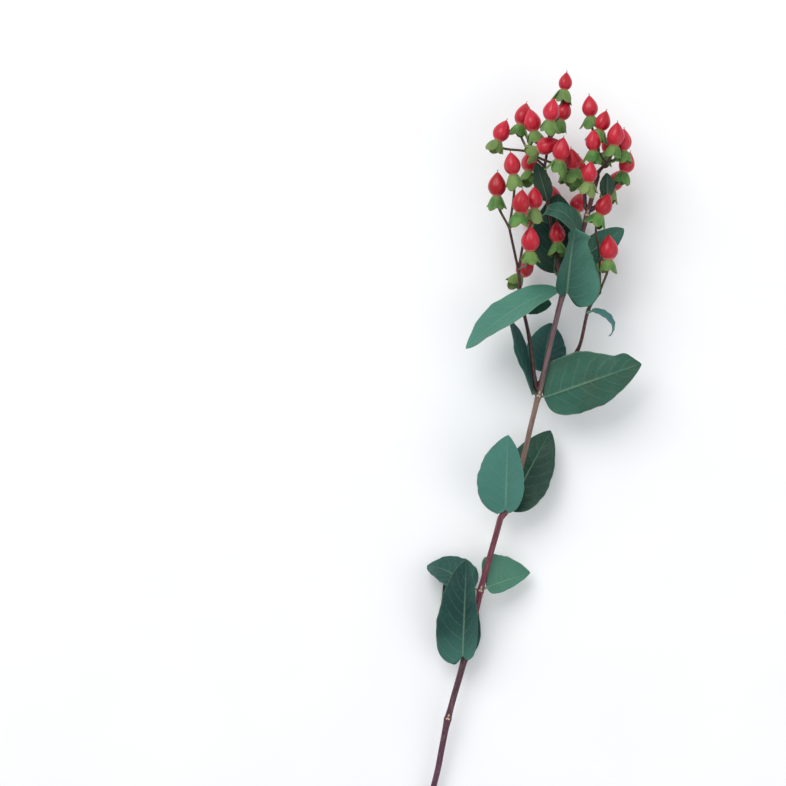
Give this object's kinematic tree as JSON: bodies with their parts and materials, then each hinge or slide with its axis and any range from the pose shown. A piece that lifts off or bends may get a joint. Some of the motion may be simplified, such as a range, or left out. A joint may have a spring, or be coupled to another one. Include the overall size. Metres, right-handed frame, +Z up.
{
  "type": "hypericum berry stem",
  "caption": "Cut flowering-shrub stem lying down, with opposite oval leaves and a branched head of pointed berries on thin stalks.",
  "frame": {"origin": "middle of the footprint, on the surface that the stem lies on", "axes": "+Y runs along the stem from its cut end to its berries, +Z is up from the surface and +X is to the right"},
  "size_m": [0.1246, 0.4902, 0.0708],
  "materials": {
    "bark": "satin, smooth young bark",
    "leaf": "satin, with a fine net of veins",
    "berry": "glossy skin"
  },
  "bodies": {
    "root": {"main_stem": "bark", "leaf_1_front": "leaf", "leaf_1_under": "leaf", "leaf_2_left": "leaf", "leaf_2_right": "leaf", "leaf_3_front": "leaf", "leaf_3_back": "leaf", "leaf_4_right": "leaf", "leaf_4_left": "leaf", "leaf_5_front": "leaf", "leaf_5_left": "leaf", "leaf_6_left": "leaf", "shoot_leaf_left": "leaf", "shoot_leaf_right": "leaf", "shoot_leaf_small": "leaf", "shoot_leaf_curled": "leaf", "spray_top": "berry", "spray_upper_left": "berry", "spray_upper_right": "berry", "spray_long_left": "berry", "spray_side_right": "berry", "spray_low_left": "berry", "spray_under": "berry"}
  },
  "joints": []
}
